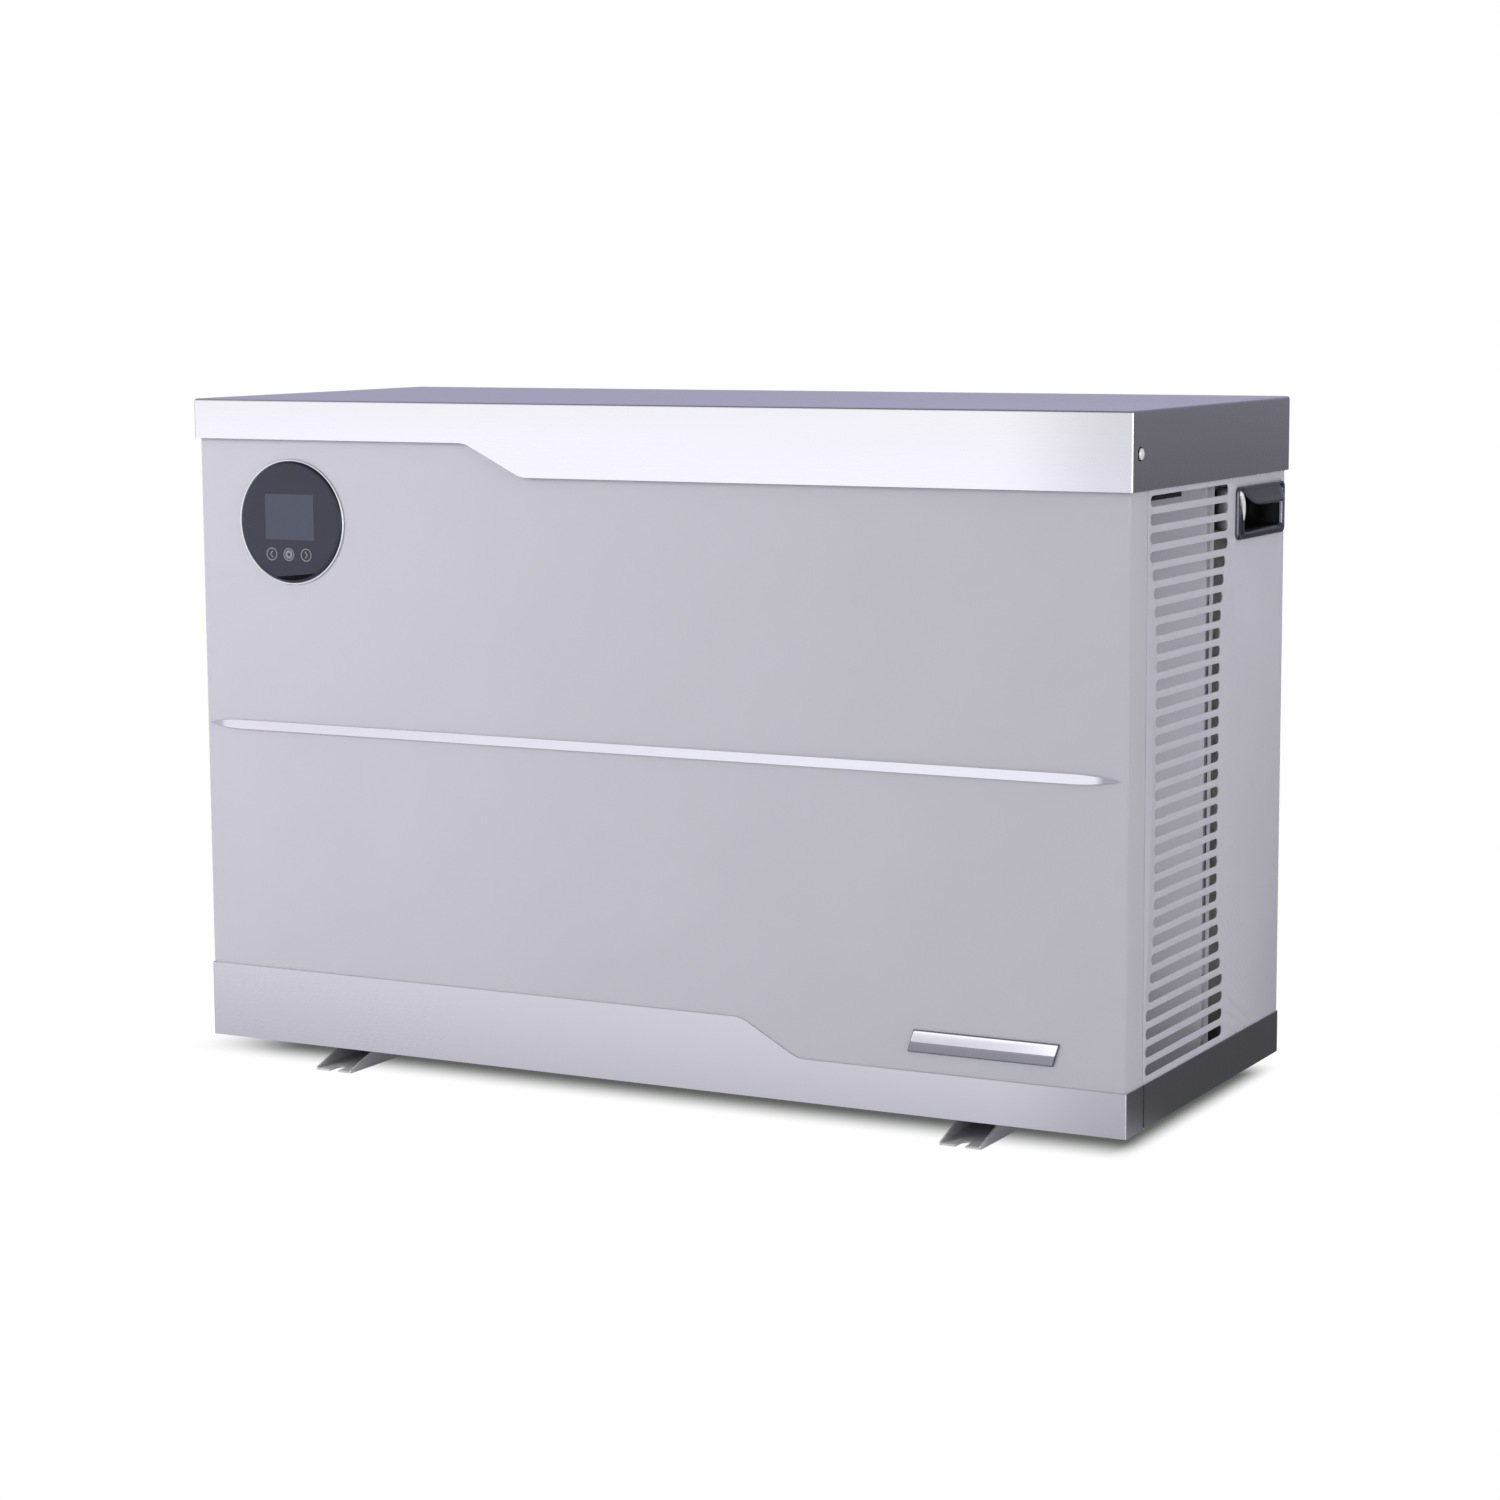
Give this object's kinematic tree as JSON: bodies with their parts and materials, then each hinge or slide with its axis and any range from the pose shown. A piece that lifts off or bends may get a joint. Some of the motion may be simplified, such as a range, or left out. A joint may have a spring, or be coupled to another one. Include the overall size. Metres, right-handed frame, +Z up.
{
  "type": "pool heat pump unit",
  "caption": "Pool heat pump cabinet with stainless lid and base trim, round glass control panel, side discharge slots, recessed handles, and fan, coil, compressor and water exchanger inside.",
  "frame": {"origin": "on the floor, under the middle of the overall footprint, water unions included", "axes": "+X to the right seen from the front, +Y from the front panel to the rear, +Z up"},
  "size_m": [1.0596, 0.475, 0.703],
  "materials": {
    "stainless": "horizontal brushing, satin",
    "painted_panel": "pale grey fine-texture powder coat",
    "galvanised": "dull galvanised grey",
    "black_plastic": "satin moulded",
    "grey_plastic": "satin moulded",
    "white_plastic": "smooth moulded",
    "dark_chrome": "dark polished",
    "chrome": "polished",
    "black_glass": "back-painted glass, glossy",
    "lcd": "display off",
    "copper": "drawn copper tube, slightly dulled",
    "titanium": "drawn titanium",
    "fin_aluminium": "coated fins",
    "black_enamel": "black enamel on a steel shell",
    "rubber": "matte",
    "circuit_board": "solder mask",
    "brass": "machined",
    "clear_lens": "clear",
    "red_needle": "matte"
  },
  "bodies": {
    "cabinet": {"top_lid": "stainless", "front_panel": "painted_panel", "side_panel_right": "painted_panel", "side_panel_left": "painted_panel", "rear_panel": "painted_panel", "coil_guard": "black_plastic", "base_pan": "galvanised", "base_trim_front": "stainless", "base_trim_right": "stainless", "base_trim_left": "stainless", "foot_rail_left": "galvanised", "foot_rail_right": "galvanised", "handle_right": "dark_chrome", "handle_left": "dark_chrome", "badge_plate": "chrome", "lid_screw_right": "stainless", "lid_screw_left": "stainless", "controller_bezel": "chrome", "controller_glass": "black_glass", "controller_screen": "lcd", "controller_housing": "black_plastic", "fan_deck": "painted_panel", "fan_ring": "painted_panel", "fan_motor": "grey_plastic", "motor_bracket": "galvanised", "evaporator_coil": "fin_aluminium", "mid_partition": "galvanised", "compressor": "black_enamel", "compressor_mount_1": "rubber", "compressor_mount_2": "rubber", "compressor_mount_3": "rubber", "accumulator": "black_enamel", "reversing_valve": "brass", "expansion_valve": "brass", "discharge_pipe": "copper", "suction_pipe": "copper", "evaporator_gas_pipe": "copper", "exchanger_gas_pipe": "copper", "liquid_pipe": "copper", "distributor_pipe": "copper", "exchanger_shell": "white_plastic", "titanium_coil": "titanium", "water_inlet_pipe": "white_plastic", "water_outlet_pipe": "white_plastic", "inlet_union_tail": "grey_plastic", "outlet_union_tail": "grey_plastic", "flow_switch": "grey_plastic", "electrical_box": "galvanised", "control_board": "circuit_board", "terminal_block": "black_plastic", "cable_gland": "black_plastic", "gauge_body": "chrome", "gauge_lens": "clear_lens"},
    "fan": {"fan_propeller": "black_plastic", "fan_shaft": "galvanised", "fan_hub_nut": "brass"},
    "inlet_nut": {"inlet_union_nut": "grey_plastic"},
    "outlet_nut": {"outlet_union_nut": "grey_plastic"},
    "paddle": {"flow_paddle": "titanium"},
    "needle": {"gauge_needle": "red_needle"}
  },
  "joints": [
    {"name": "fan_spin", "type": "hinge", "parent": "cabinet", "child": "fan", "pos_m": [0.13, -0.0095, 0.356], "axis": [0, 1, 0], "continuous": true},
    {"name": "inlet_nut_turn", "type": "hinge", "parent": "cabinet", "child": "inlet_nut", "pos_m": [-0.433, 0.2075, 0.13], "axis": [0, 1, 0], "continuous": true},
    {"name": "outlet_nut_turn", "type": "hinge", "parent": "cabinet", "child": "outlet_nut", "pos_m": [-0.433, 0.2075, 0.41], "axis": [0, 1, 0], "continuous": true},
    {"name": "flow_paddle_swing", "type": "hinge", "parent": "cabinet", "child": "paddle", "pos_m": [-0.433, 0.1725, 0.156], "axis": [1, 0, 0], "range_deg": [0, 12]},
    {"name": "gauge_needle_turn", "type": "hinge", "parent": "cabinet", "child": "needle", "pos_m": [-0.293, 0.1907, 0.47], "axis": [0, 1, 0], "range_deg": [0, 270]}
  ]
}
